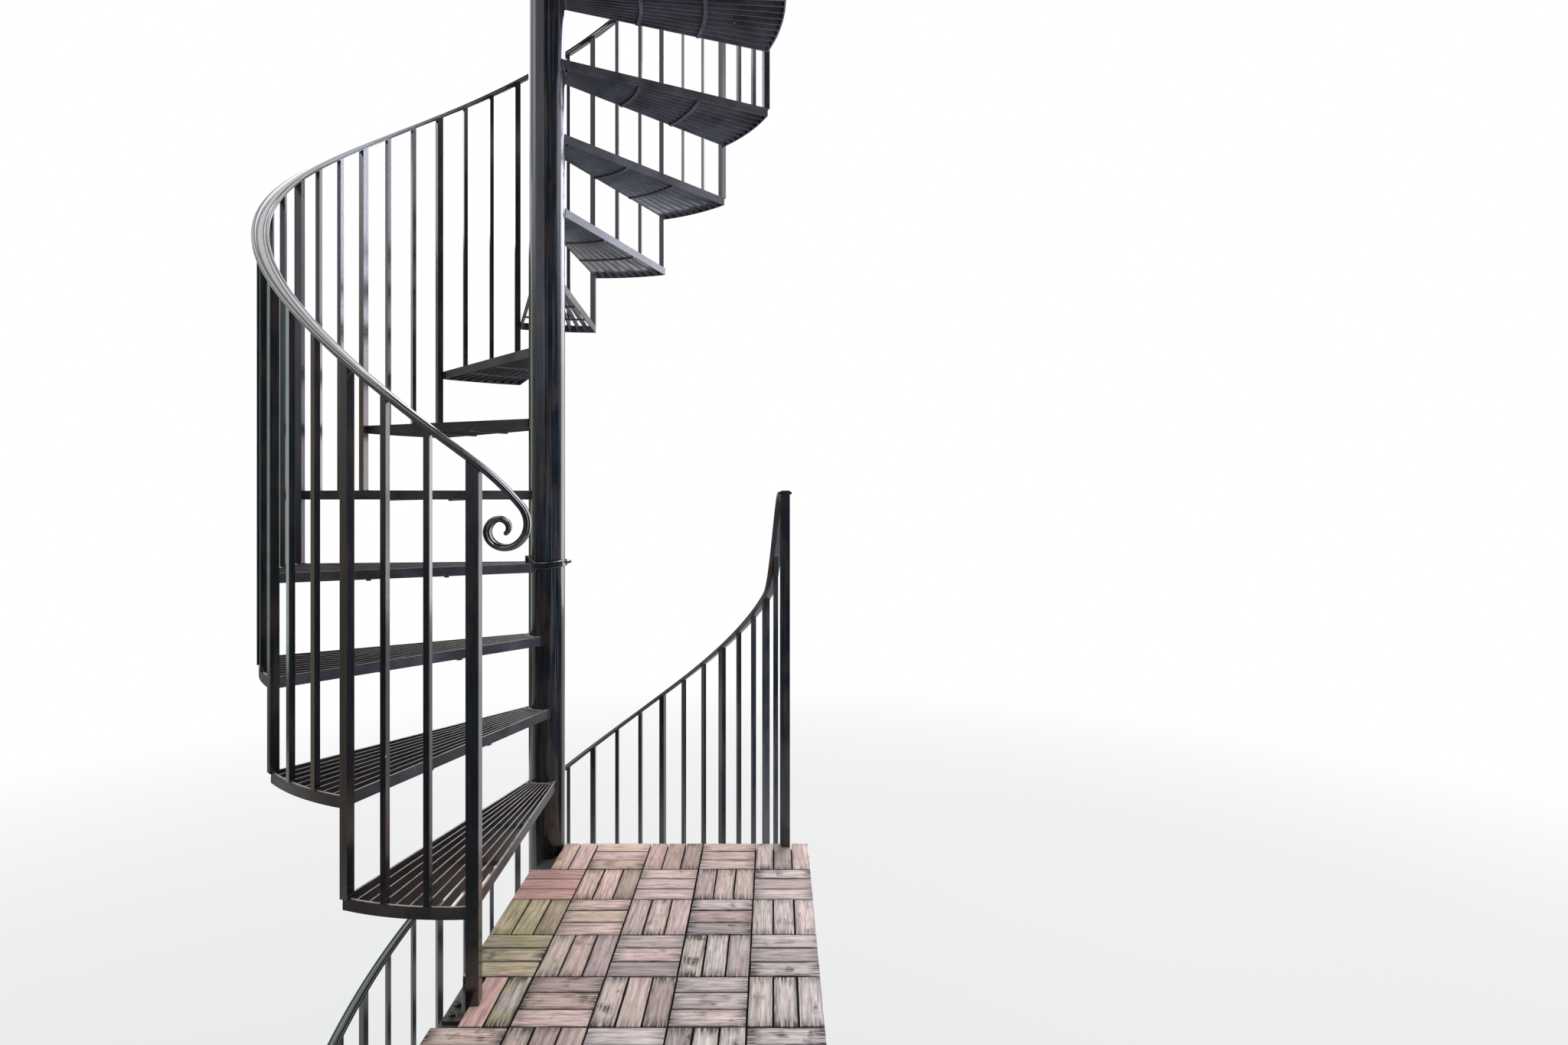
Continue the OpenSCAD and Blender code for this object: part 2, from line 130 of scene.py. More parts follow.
def fill(owner, node, inputs):
    """Fills a node's sockets, by name or in their order, with values or with links."""
    for name, value in inputs.items() if isinstance(inputs, dict) else enumerate(inputs):
        if isinstance(value, bpy.types.NodeSocket):
            owner.node_tree.links.new(value, node.inputs[name])
        else:
            node.inputs[name].default_value = value


def add(owner, kind, inputs=None, out=0, **settings):
    """Adds a node with its settings to a material or a world, and gives the output that is asked for."""
    node = owner.node_tree.nodes.new("ShaderNode" + kind)
    for name, value in settings.items():
        setattr(node, name, value)
    fill(owner, node, inputs or ())
    return node.outputs[out] if node.outputs else None


def new_finish(name):
    material = bpy.data.materials.new(name)
    material.use_nodes = True
    return material, material.node_tree.nodes["Principled BSDF"]


print("#808080 in linear light: %.3f" % linear("#808080")[0])

# %% [markdown]
# ## Black enamel
# The real stair was sprayed with exterior enamel some years ago. It is semi-gloss: each bar is nearly black from the
# front and bright along its edge, where it mirrors the light above. Rain has left dust on what faces up, and its
# pale colour there is also a painted highlight on the tops. Small pale specks show where the enamel has chipped. A
# painted image could carry all this, but the meshes would have to be unwrapped. Noise in the object's own
# coordinates needs no unwrapping, and its scales are the marks' real sizes. One function makes four enamels: the
# pole's is streaked by rain, the treads' is walked dull and grey, with the palest dust and painted highlight, and
# hands have kept the rails glossy.

# %% Marks, dust and chips on enamel


def upright_marks(m, place, paint, size, detail, span, share, colour):
    """Marks that stand upright, so wide and so high: rubbed brown patches, or thin grey runs of rain."""
    wide, high = size
    tall = add(m, "Mapping", {"Vector": place, "Scale": (1 / wide, 1 / wide, 1 / high)})
    marks = add(m, "TexNoise", {"Vector": tall, "Scale": 1.0, "Detail": detail})
    marks = add(m, "MapRange", (marks, span[0], span[1]))
    marks = add(m, "Math", (marks, share), operation="MULTIPLY")
    return add(m, "Mix", {0: marks, 6: paint, 7: linear(colour)}, 2, data_type="RGBA")


def dust_and_top_highlight(m, place):
    """Dust on what faces up, in patches of 25 mm; its pale colour is also a painted highlight on the tops."""
    facing = add(m, "SeparateXYZ", {"Vector": add(m, "NewGeometry", out="Normal")}, "Z")
    up = add(m, "MapRange", (facing, 0.55, 0.98))
    patches = add(m, "TexNoise", {"Vector": place, "Scale": 1 / 0.025, "Detail": 6, "Roughness": 0.65})
    patches = add(m, "MapRange", (patches, 0.2, 0.5))
    return add(m, "Math", (up, patches), operation="MULTIPLY")


def chips(m, place, speck_share):
    """Specks of 1 to 3 mm in the middle of a few picked cells, which are 30 mm wide."""
    cells = add(m, "TexVoronoi", {"Vector": place, "Scale": 1 / 0.03}).node.outputs
    pick = add(m, "SeparateXYZ", {"Vector": cells["Color"]})
    pick = add(m, "MapRange", (pick, 1 - speck_share, 1.0))
    reach = add(m, "Math", (pick, 0.055), operation="MULTIPLY")
    return add(m, "Math", (reach, cells["Distance"]), operation="GREATER_THAN")


# %% How enamel looks


def enamel(name, colours, rough, dust_and_highlight, dust_and_highlight_share, speck_share, edge_mm, rubbed, runs, shine):
    """Sprayed exterior enamel on steel, in clouds of 90 mm, with marks, dust that is also a painted top highlight,
    specks and the peel of the spray.
    """
    m, shader = new_finish(name)
    place = add(m, "TexCoord", out="Object")
    clouds = add(m, "TexNoise", {"Vector": place, "Scale": 1 / 0.09, "Detail": 5})
    clouds = add(m, "MapRange", (clouds, 0.35, 0.65))
    paint = add(m, "Mix", {0: clouds, 6: linear(colours[0]), 7: linear(colours[1])}, 2, data_type="RGBA")
    paint = upright_marks(m, place, paint, (0.035, 0.14), 5, (0.5, 0.66), rubbed, "#3a2b23")
    paint = upright_marks(m, place, paint, (0.005, 0.4), 4, (0.52, 0.68), runs, "#555654")
    # Pale dust on what faces up, laid on as colour, which is also a painted highlight on the tops
    laid_dust_and_highlight = add(m, "Math", (dust_and_top_highlight(m, place), dust_and_highlight_share), operation="MULTIPLY")
    paint = add(m, "Mix", {0: laid_dust_and_highlight, 6: paint, 7: linear(dust_and_highlight)}, 2, data_type="RGBA")
    speck = chips(m, place, speck_share)
    paint = add(m, "Mix", {0: speck, 6: paint, 7: linear("#aaa59c")}, 2, data_type="RGBA")
    # Grime of 12 mm dulls the gloss a little; the dust with its painted highlight, and the chips, take half of it
    grime = add(m, "TexNoise", {"Vector": place, "Scale": 1 / 0.012, "Detail": 4})
    grime = add(m, "MapRange", (grime, 0.3, 0.7))
    gloss = add(m, "Math", (grime, 0.06, rough), operation="MULTIPLY_ADD")
    matt = add(m, "Math", (laid_dust_and_highlight, speck), operation="MAXIMUM")
    matt = add(m, "Math", (matt, 0.5), operation="MULTIPLY")
    dull = add(m, "Math", (gloss, matt), operation="MAXIMUM")
    # Soft arrises, and the peel of sprayed paint, 3 mm wide
    arris = add(m, "Bevel", {"Radius": edge_mm / 1000}, samples=4)
    peel = add(m, "TexNoise", {"Vector": place, "Scale": 1 / 0.003, "Detail": 2})
    bump = add(m, "Bump", {"Height": peel, "Distance": 0.0002, "Strength": 0.25, "Normal": arris})
    fill(m, shader, {"Base Color": paint, "Roughness": dull, "Normal": bump, "IOR": 1.5,
                     "Specular IOR Level": shine})
    return m


# %% The four enamels
bar_enamel = enamel("semi_gloss_black_enamel", ("#101112", "#191a1c"), rough=0.14, dust_and_highlight="#6d6962",
                    dust_and_highlight_share=0.6, speck_share=0.07, edge_mm=0.7, rubbed=0.55, runs=0.12, shine=1.0)
pole_enamel = enamel("rain_streaked_black_enamel", ("#101113", "#191b1e"), rough=0.1, dust_and_highlight="#6d6962",
                     dust_and_highlight_share=0.6, speck_share=0.14, edge_mm=1.0, rubbed=0.55, runs=0.5, shine=0.8)
# The treads' very pale dust on what faces up is dust and a painted highlight on their tops
tread_enamel = enamel("walked_black_enamel", ("#2a2727", "#443f3f"), rough=0.3, dust_and_highlight="#d2ccc9",
                      dust_and_highlight_share=0.8, speck_share=0.05, edge_mm=0.4, rubbed=0.3, runs=0.1, shine=0.2)
rail_enamel = enamel("hand_polished_black_enamel", ("#121214", "#18181a"), rough=0.06, dust_and_highlight="#57544f",
                     dust_and_highlight_share=0.1, speck_share=0.02, edge_mm=0.3, rubbed=0.2, runs=0.0, shine=1.0)
for made in (bar_enamel, pole_enamel, tread_enamel, rail_enamel):
    print("%s: %d nodes" % (made.name, len(made.node_tree.nodes)))

# %% [markdown]
# ## Zinc and plastic
# The anchor bolts and the wire at the band are zinc plated steel, gone dull outdoors: a grey, mottled shine. The
# slats are clipped to a grid of moulded black plastic, matt with dirt. One flat colour would do from afar. Two tones
# in soft patches cost one noise more and hold up close by.

# %% Mottled finishes


def mottled(name, patch, detail, span, tones, values):
    """Two tones in soft patches of one width, in metres."""
    m, shader = new_finish(name)
    place = add(m, "TexCoord", out="Object")
    share = add(m, "TexNoise", {"Vector": place, "Scale": 1 / patch, "Detail": detail})
    share = add(m, "MapRange", (share, span[0], span[1]))
    colour = add(m, "Mix", {0: share, 6: linear(tones[0]), 7: linear(tones[1])}, 2, data_type="RGBA")
    fill(m, shader, {"Base Color": colour, **values})
    return m


zinc = mottled("weathered_zinc_plate", 0.004, 3, (0.3, 0.7), ("#5c5a57", "#9a978f"),
               {"Metallic": 1.0, "Roughness": 0.45})
backing_plastic = mottled("moulded_black_polypropylene", 0.01, 4, (0.35, 0.7), ("#1b1816", "#3a322b"),
                          {"Roughness": 0.8})
print("made", zinc.name, "and", backing_plastic.name)

# %% [markdown]
# ## Weathered hardwood
# The deck is laid with hardwood tiles, each a square of three slats. They were reddish brown and have greyed in the
# weather, some more than others, with a green film of algae where the stair keeps them damp. Every slat could have
# a material of its own. It is simpler to write a slat's tone, and the direction of its grain, on its mesh as
# attributes when it is cut, and to let one material read them.

# %% Grain of the wood
BLOCK = 0.1524
SLAT = BLOCK / 3
GAP = 0.0038


def streaks(m, grain, length, width, detail, twist=0.0):
    """Noise that is drawn out along the grain."""
    place = add(m, "Mapping", {"Vector": grain, "Scale": (1 / length, 1 / width, 1 / (4 * width))})
    return add(m, "TexNoise", {"Vector": place, "Scale": 1.0, "Detail": detail, "Distortion": twist})


def cut_elsewhere(m, local, own):
    """Each slat is cut from another place in the wood."""
    shift = {axis: add(m, "Math", (own, far), operation="MULTIPLY")
             for axis, far in (("X", 7), ("Y", 31), ("Z", 3))}
    return add(m, "VectorMath", (local, add(m, "CombineXYZ", shift)), operation="ADD")


# %% Tones of the wood


def wood_tones(m, grain, own, tone, film):
    """Pink, tan, red, grey and greenish wood, each in two shades by its growth rings, which are 7 mm apart."""
    ring = streaks(m, grain, 0.09, 0.007, 4, 0.6)
    ring = add(m, "MapRange", (ring, 0.27, 0.62))
    pink, tan, grey, red, green = [
        add(m, "Mix", {0: ring, 6: linear(dark), 7: linear(light)}, 2, data_type="RGBA")
        for dark, light in (("#b28880", "#f8d2c7"), ("#bd9784", "#fad9c4"), ("#a09194", "#eadad7"),
                            ("#ab7b70", "#e6b3a6"), ("#847e52", "#c3bb86"))]
    share = add(m, "MapRange", (own, 0.35, 0.75))
    fresh = add(m, "Mix", {0: share, 6: pink, 7: tan}, 2, data_type="RGBA")
    share = add(m, "MapRange", (tone["X"], 1.0, 1.3))
    fresh = add(m, "Mix", {0: share, 6: fresh, 7: red}, 2, data_type="RGBA")
    wood = add(m, "Mix", {0: tone["X"], 6: grey, 7: fresh}, 2, data_type="RGBA")
    # No two slats are equally dark, and most are light
    shade = add(m, "Math", (own, 17.3), operation="MULTIPLY")
    shade = add(m, "Math", (shade,), operation="FRACT")
    shade = add(m, "Math", (shade, 2.0), operation="POWER")
    shade = add(m, "Math", (shade, 0.58), operation="MULTIPLY")
    wood = add(m, "Mix", {0: shade, 6: wood, 7: linear("#6e5a54")}, 2, data_type="RGBA")
    share = add(m, "MapRange", (film, 0.3, 0.55))
    share = add(m, "Math", (tone["Y"], share), operation="MULTIPLY")
    return add(m, "Mix", {0: share, 6: wood, 7: green}, 2, data_type="RGBA")


# %% Stains of the wood


def near_edge(m, distance, length, reach):
    """One at both ends of a length, nought beyond the reach."""
    other = add(m, "Math", (length, distance), operation="SUBTRACT")
    nearest = add(m, "Math", (distance, other), operation="MINIMUM")
    return add(m, "MapRange", (nearest, reach, 0.0))


def stains(m, along, grain, tone, film):
    """Rain has carried dirt to a slat's ends and long edges, where it lies in streaks 4 mm wide."""
    side = add(m, "Math", (near_edge(m, along["Y"], SLAT - GAP, 0.009), 0.75), operation="MULTIPLY")
    near = add(m, "Math", (near_edge(m, along["X"], BLOCK - GAP, 0.03), side), operation="MAXIMUM")
    spots = add(m, "MapRange", (film, 0.56, 0.7))
    near = add(m, "Math", (near, spots), operation="MAXIMUM")
    near = add(m, "Math", (near, tone["Z"]), operation="MULTIPLY")
    dark = streaks(m, grain, 0.05, 0.004, 4, 0.3)
    dark = add(m, "MapRange", (dark, 0.36, 0.56))
    dark = add(m, "Math", (near, dark), operation="MULTIPLY")
    return add(m, "Math", (dark, 1.6), operation="MULTIPLY")


# %% Hardwood finish


def hardwood():
    """Weathered hardwood. Pores are 1.2 mm wide and 40 mm long, checks 70 mm long."""
    m, shader = new_finish("weathered_hardwood_slats")
    local = add(m, "Attribute", out="Vector", attribute_name="grain")
    tone = add(m, "Attribute", out="Vector", attribute_name="tone")
    tone = add(m, "SeparateXYZ", {"Vector": tone}).node.outputs
    own = add(m, "Attribute", out="Fac", attribute_name="own")
    along = add(m, "SeparateXYZ", {"Vector": local}).node.outputs
    grain = cut_elsewhere(m, local, own)
    film = add(m, "TexNoise", {"Vector": grain, "Scale": 1 / 0.05, "Detail": 4})
    pores = streaks(m, grain, 0.04, 0.0012, 3)
    checks = streaks(m, grain, 0.07, 0.0011, 2, 0.4)
    checks = add(m, "MapRange", (checks, 0.66, 0.72))
    wood = wood_tones(m, grain, own, tone, film)
    # Stains, pores and checks, and painted shade that darkens the gaps' sides from 1 to 3.5 mm down
    for share, colour in (
            (stains(m, along, grain, tone, film), "#3a332e"),
            (add(m, "MapRange", (pores, 0.44, 0.26)), "#54443f"),
            (add(m, "Math", (checks, 0.8), operation="MULTIPLY"), "#3d312c"),
            (add(m, "MapRange", (along["Z"], -0.0008, -0.0035)), "#241e1a")):
        wood = add(m, "Mix", {0: share, 6: wood, 7: linear(colour)}, 2, data_type="RGBA")
    bump = add(m, "Bump", {"Height": pores, "Distance": 0.0006, "Strength": 0.5})
    fill(m, shader, {"Base Color": wood, "Roughness": 0.75, "Normal": bump})
    return m


slat_wood = hardwood()
print("%s: %d nodes" % (slat_wood.name, len(slat_wood.node_tree.nodes)))

# %% [markdown]
# ## Dress the CAD solids
# Most solids have the real piece's shape. They could be copied and smoothed, but nothing would be gained, so they
# keep their meshes and only get the finish of the real piece.

# %% Finishes of the CAD nodes
for name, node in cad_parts.items():
    finish = tread_enamel if "tread" in name else bar_enamel
    if name in ("centre_pole", "pole_cap", "base_plate"):
        finish = pole_enamel
    if name == "top_guard_rail":
        finish = rail_enamel
    node.data.materials.clear()
    node.data.materials.append(finish)
print("treads painted:", sum("tread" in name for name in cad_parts))

# %% [markdown]
# ## One way to finish a piece
# Each new piece is a bmesh that becomes an object at the origin. It could be built at the origin and moved, but the
# patterns of the finishes follow the object's coordinates, so its place is in its mesh. It rides on the stair's one
# body, hides the CAD nodes that it stands for, and takes the finish that it is given.

# %% From bmesh to piece


def piece(bm, name, finish, stands_for=(), smooth=40):
    bmesh.ops.recalc_face_normals(bm, faces=bm.faces)
    mesh = bpy.data.meshes.new(name)
    bm.to_mesh(mesh)
    bm.free()
    mesh.materials.append(finish)
    if smooth:
        mesh.shade_smooth()
        mesh.set_sharp_from_angle(angle=math.radians(smooth))
    thing = bpy.data.objects.new(name, mesh)
    bpy.context.scene.collection.objects.link(thing)
    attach(thing, "root")
    if stands_for:
        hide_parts(*stands_for)
    print("%s: %d faces" % (name, len(mesh.polygons)))
    return thing


# %% [markdown]
# ## The handrails
# The rail is a moulded steel cap, rolled to the helix of the stair. It keeps one height above the treads, sweeps up
# to the landing's post, and at its foot bends over and curls into a scroll. A curve with a profile could draw it,
# but a curve tilts its profile by rules of its own, and the real cap stays upright. So one ring of the cap's section
# is drawn, and the ring's edges are extruded and moved on, from station to station along the rail's line.

# %% The cap's section
RAIL_W, RAIL_T = 0.038, 0.014
CAP_HALF = [(0.10, -0.5), (0.27, -0.5), (0.29, -0.46), (0.29, -0.3), (0.33, -0.26), (0.43, -0.21),
            (0.475, -0.13), (0.495, -0.03), (0.5, 0.07), (0.49, 0.18), (0.46, 0.27), (0.41, 0.31),
            (0.365, 0.29), (0.335, 0.22), (0.318, 0.19), (0.3, 0.22), (0.283, 0.31), (0.25, 0.39),
            (0.2, 0.445), (0.14, 0.48), (0.07, 0.497)]
CAP = [(x * RAIL_W, z * RAIL_T) for x, z in CAP_HALF] + [(0, 0.5 * RAIL_T)]
CAP += [(-x * RAIL_W, z * RAIL_T) for x, z in reversed(CAP_HALF)]
print("the cap's ring has", len(CAP), "points")

# %% Sweep a ring


def station(point, across, along, up, size=1):
    """A place on a line, as a matrix: X across, Y along, Z up, with the size of what is put there."""
    turned = Matrix((across, along, up)).transposed().to_4x4()
    return Matrix.Translation(point) @ turned @ Matrix.Diagonal((size, 1, size, 1))


def sweep(bm, section, stations):
    """Extrudes a ring of the section, drawn across and up, from station to station."""
    first = stations[0]
    ring = [bm.verts.new(first @ Vector((x, 0, z))) for x, z in section]
    edges = [bm.edges.new((ring[i], ring[(i + 1) % len(ring)])) for i in range(len(ring))]
    start = list(edges)
    for before, after in zip(stations, stations[1:]):
        grown = bmesh.ops.extrude_edge_only(bm, edges=edges)["geom"]
        points = [g for g in grown if isinstance(g, bmesh.types.BMVert)]
        edges = [g for g in grown if isinstance(g, bmesh.types.BMEdge) and all(v in points for v in g.verts)]
        bmesh.ops.transform(bm, matrix=after @ before.inverted(), verts=points)
    bmesh.ops.contextual_create(bm, geom=start)
    bmesh.ops.contextual_create(bm, geom=edges)


# %% [markdown]
# The line of the rail repeats the drawing's: a helix, eased into a steep climb over the last 22 degrees, and at the
# foot a shallow bend and a logarithmic spiral in the upright plane that touches the stair's circle. It could be
# traced from the solid's edges, but the drawing's few formulas are shorter.

# %% The rail's line
GUARD, LANDING_GUARD = 0.905, 1.026
SLOPE = math.atan(RISE / (RIM_R * math.radians(PITCH)))
EASE_SPAN, EASE_BEFORE = 16, 22


def flight_end(flight):
    return flight["start"] + flight["count"] * PITCH + EDGE_LAG


def rail_height(flight, angle):
    steps = 1 + (angle - flight["start"]) / PITCH
    helix = flight["floor"] + RISE * steps + GUARD - RAIL_T / 2 / math.cos(SLOPE)
    level = flight["floor"] + RISE * (flight["count"] + 1) + DECK_LIFT + LANDING_GUARD - RAIL_T / 2
    share = min(1, max(0, (angle - flight_end(flight) + EASE_BEFORE) / EASE_SPAN))
    share = share * share * (3 - 2 * share)
    return helix * (1 - share) + level * share


def rail_point(flight, angle):
    return RIM_R * out_dir(angle) + lift(rail_height(flight, angle))


print("the rail climbs at %.1f degrees" % math.degrees(SLOPE))

# %% The scroll at the foot
LEAD_LENGTH, LEAD_BEND, LEAD_STEPS = 0.130, math.radians(14), 8
SCROLL_R, SCROLL_K, SCROLL_TURN, SCROLL_STEP = 0.061, 0.198, 465, 5


def lead_point(bend):
    """A point of the lead past the newel, a shallow arc that grows steeper."""
    radius = LEAD_LENGTH / LEAD_BEND
    return (radius * (math.sin(SLOPE + bend) - math.sin(SLOPE)),
            radius * (math.cos(SLOPE + bend) - math.cos(SLOPE)))


def scroll_points(flight):
    """The lead, then the scroll, as points across and up from the newel's top."""
    points = [lead_point(LEAD_BEND * i / LEAD_STEPS) for i in range(1, LEAD_STEPS)]
    end = lead_point(LEAD_BEND)
    first = math.pi / 2 + math.atan(SCROLL_K) - SLOPE - LEAD_BEND

    def arm(turn):
        r = SCROLL_R * math.exp(-SCROLL_K * turn)
        return (r * math.cos(first - turn), r * math.sin(first - turn))

    for i in range(0, SCROLL_TURN + 1, SCROLL_STEP):
        a, zero = arm(math.radians(i)), arm(0)
        points.append((end[0] + a[0] - zero[0], end[1] + a[1] - zero[1]))
    top = rail_point(flight, flight["start"])
    return [top + p[0] * down_dir(flight["start"]) + lift(p[1]) for p in points]


# %% Stations of a rail
SEAT = 0.00025
CLOSE_STEP, WIDE_STEP = 1.25, 1.875
TAPER, THINNED = 40, 0.42


def rail_line(flight):
    """Points from the landing's post down to the scroll's tip, and the way across the rail at each."""
    angle = flight_end(flight) - math.degrees(SEAT / RIM_R)
    turn = []
    while angle > flight["start"]:
        turn.append(angle)
        angle -= CLOSE_STEP if angle > flight_end(flight) - EASE_BEFORE - 2 else WIDE_STEP
    line = [(rail_point(flight, a), out_dir(a)) for a in turn + [flight["start"]]]
    return line + [(p, out_dir(flight["start"])) for p in scroll_points(flight)]


def rail_stations(flight):
    """The scroll's last turn is hammered thinner towards its tip."""
    line = rail_line(flight)
    stations = []
    for i, (point, across) in enumerate(line):
        along = (line[min(i + 1, len(line) - 1)][0] - line[max(i - 1, 0)][0]).normalized()
        up = across.cross(along).normalized()
        thin = 1 - THINNED * max(0, (i - len(line) + 1 + TAPER) / TAPER)
        stations.append(station(point, across, up.cross(across), up, thin))
    return stations


# %% Both handrails
for label, flight in (("lower", LOWER), ("upper", UPPER)):
    bm = bmesh.new()
    sweep(bm, CAP, rail_stations(flight))
    piece(bm, label + "_moulded_rail", rail_enamel, [label + "_handrail"], smooth=50)

# %% [markdown]
# ## The deck's slats
# Each landing is five blocks by six, and each block is three slats, laid in turn across and along. The deck is cut
# away at the pole, at the newel's plate and at the posts, and one slat was left out where the newel stands. Booleans
# could cut the notches, but they can leave slivers. So a slat's outline is made of the cells that the notches leave
# of it. The cells are dissolved into one face, the face is extruded down, and a bevel eases its upper edges.

# %% Notches in the deck
COLUMNS, ROWS = 5, 6
LANDING_W, LANDING_L = COLUMNS * BLOCK, ROWS * BLOCK
POST, GUARD_IN = 0.0254, 0.0254
PLATE_W = 0.060
NOTCH = 0.004
FAR = 9.0
NEWEL = RIM_R * out_dir(UPPER["start"])


def notches(label):
    """The boxes in plan that a deck leaves free: pole, left-out slat, newel with its plate, and the posts."""
    half = POST / 2 + NOTCH
    boxes = [(-FAR, -BLOCK, POLE_R + NOTCH, FAR),
             (-FAR, -5 * BLOCK, SLAT, -4 * BLOCK),
             (-FAR, NEWEL.y - PLATE_W / 2 - NOTCH, NEWEL.x + half, NEWEL.y + PLATE_W / 2 + NOTCH),
             (RIM_R - half, -POST - NOTCH, RIM_R + half, FAR)]
    if label == "top":
        boxes.append((-FAR, -FAR, GUARD_IN + half, -LANDING_L + GUARD_IN + half))
    return boxes


def cells(spot, boxes):
    """Cuts a rectangle along the notches' edges and gives the cells that lie outside the notches."""
    x0, y0, x1, y1 = spot
    xs = sorted({x0, x1} | {x for box in boxes for x in (box[0], box[2]) if x0 < x < x1})
    ys = sorted({y0, y1} | {y for box in boxes for y in (box[1], box[3]) if y0 < y < y1})
    for a, c in zip(xs, xs[1:]):
        for b, d in zip(ys, ys[1:]):
            x, y = (a + c) / 2, (b + d) / 2
            if not any(box[0] < x < box[2] and box[1] < y < box[3] for box in boxes):
                yield a, b, c, d


print("the landing is %.3f by %.3f m" % (LANDING_W, LANDING_L))

# %% A board with eased edges


def board(bm, spot, boxes, low, high, ease):
    """A board between two levels. It gives its underside's vertices, which easing the top leaves alone."""
    points, faces = {}, []
    for a, b, c, d in cells(spot, boxes):
        corners = ((a, b), (c, b), (c, d), (a, d))
        for x, y in corners:
            if (x, y) not in points:
                points[x, y] = bm.verts.new((x, y, high))
        faces.append(bm.faces.new([points[corner] for corner in corners]))
    if len(faces) > 1:
        faces = bmesh.ops.dissolve_faces(bm, faces=faces, use_verts=True)["region"]
    grown = bmesh.ops.extrude_face_region(bm, geom=faces)["geom"]
    under = [g for g in grown if isinstance(g, bmesh.types.BMVert)]
    bmesh.ops.translate(bm, vec=lift(low - high), verts=under)
    if ease and faces:
        rims = list(dict.fromkeys(e for f in faces for e in f.edges))
        bmesh.ops.bevel(bm, geom=rims, offset=ease, segments=2, affect="EDGES", profile=0.5, material=-1)
    return under


def joined(start):
    """All vertices of the boards that these belong to."""
    found, queue = set(start), list(start)
    while queue:
        for edge in queue.pop().link_edges:
            for v in edge.verts:
                if v not in found:
                    found.add(v)
                    queue.append(v)
    return found


# %% [markdown]
# The wood's tones follow the light and the damp. Tones by chance alone would look even, so a slat's tone comes from
# its block's place, with some chance on top. The far left corner, sheltered by the stair, is still pinkish red and
# tan. Towards the right and the front the slats are grey and lilac, with dark stains at their ends. Beside the open
# side a green film grows. Two slats by the newel stand out, one salmon and one dark olive.

# %% Tones of a slat
DAMP_SPOT, DAMP_REACH = (0.02, -0.46), (0.11, 0.17)


def slat_tone(i, j, k, x, y, chance):
    """How warm (beyond one, red), how green and how stained a slat is, by its block, number and middle."""
    warm = 1.3 - 0.2 * i - 0.2 * j + chance.uniform(-0.25, 0.25)
    if j > 3:
        warm += 0.45 - 0.1 * i
    damp = Vector(((x - DAMP_SPOT[0]) / DAMP_REACH[0], (y - DAMP_SPOT[1]) / DAMP_REACH[1])).length
    green = max(1.25 - 0.62 * damp, chance.uniform(-0.7, 0.35))
    stain = 0.12 + 0.07 * i + 0.05 * j + chance.uniform(-0.15, 0.45)
    warm = min(warm, 1.0)
    if (i, j) == (0, 1):
        warm, green, stain = 1.3, 0.0, 0.1
    if (i, j, k) == (0, 4, 1):
        warm, green, stain = 1.12, 0.0, 0.1
    if (i, j, k) == (0, 4, 2):
        warm, green, stain = 0.0, 1.0, 0.85
    return [max(0, warm), min(1, max(0, green)), min(1, max(0, stain))]


def block_slats(i, j):
    """The rectangles of a block's three slats, and whether they lie along X."""
    x0, y0 = i * BLOCK, -(j + 1) * BLOCK
    along_x = (i + j) % 2 == 1
    for k in range(3):
        if along_x:
            yield k, (x0, y0 + (2 - k) * SLAT, x0 + BLOCK, y0 + (3 - k) * SLAT), along_x
        else:
            yield k, (x0 + k * SLAT, y0, x0 + (k + 1) * SLAT, y0 + BLOCK), along_x


# %% Slats of both landings
DECK_T, BACKING = 0.0254, 0.007
WORN, SHIFTED, EASED = 0.0009, 0.0004, 0.0017


def landing_slats(label, top, seed):
    """The worn tops differ by less than a millimetre, and no two gaps are quite alike."""
    chance = random.Random(seed)
    boxes = notches(label)
    bm = bmesh.new()
    grain = bm.verts.layers.float_vector.new("grain")
    tone = bm.verts.layers.float_vector.new("tone")
    own = bm.verts.layers.float.new("own")
    for i in range(COLUMNS):
        for j in range(ROWS):
            for k, spot, along_x in block_slats(i, j):
                a, b, c, d = (v + side * GAP / 2 for v, side in zip(spot, (1, 1, -1, -1)))
                high = top - chance.uniform(0, WORN)
                a, b, c, d = (v + chance.uniform(-SHIFTED, SHIFTED) for v in (a, b, c, d))
                under = board(bm, (a, b, c, d), boxes, top - DECK_T + BACKING, high, EASED)
                tones = slat_tone(i, j, k, (a + c) / 2, (b + d) / 2, chance)
                number = chance.uniform(0, 1)
                for v in joined(under):
                    p = v.co - Vector((a, b, high))
                    v[grain] = (p.x, p.y, p.z) if along_x else (p.y, p.x, p.z)
                    v[tone] = tones
                    v[own] = number
    piece(bm, label + "_deck_slats", slat_wood, [label + "_landing_deck"], smooth=35)


landing_slats("mid", MID_Z, 7)
landing_slats("top", TOP_Z, 11)

# %% [markdown]
# Under the slats is the clip-on plastic grid: a thin sheet with ribs an inch apart, which rests on the landing's
# angles and joists. One plain sheet would close the gaps as well, but from below the ribs show. The function that
# makes the slats makes them too.

# %% The plastic grid
RIB_PITCH, RIB_T, SHEET_T = BLOCK / 6, 0.0022, 0.0025


def ribs(count, length):
    """The middles of the ribs over a length, the first and the last one just inside the edge."""
    inside = GAP / 2 + RIB_T / 2
    return [min(max(n * RIB_PITCH, inside), length - inside) for n in range(count * 6 + 1)]


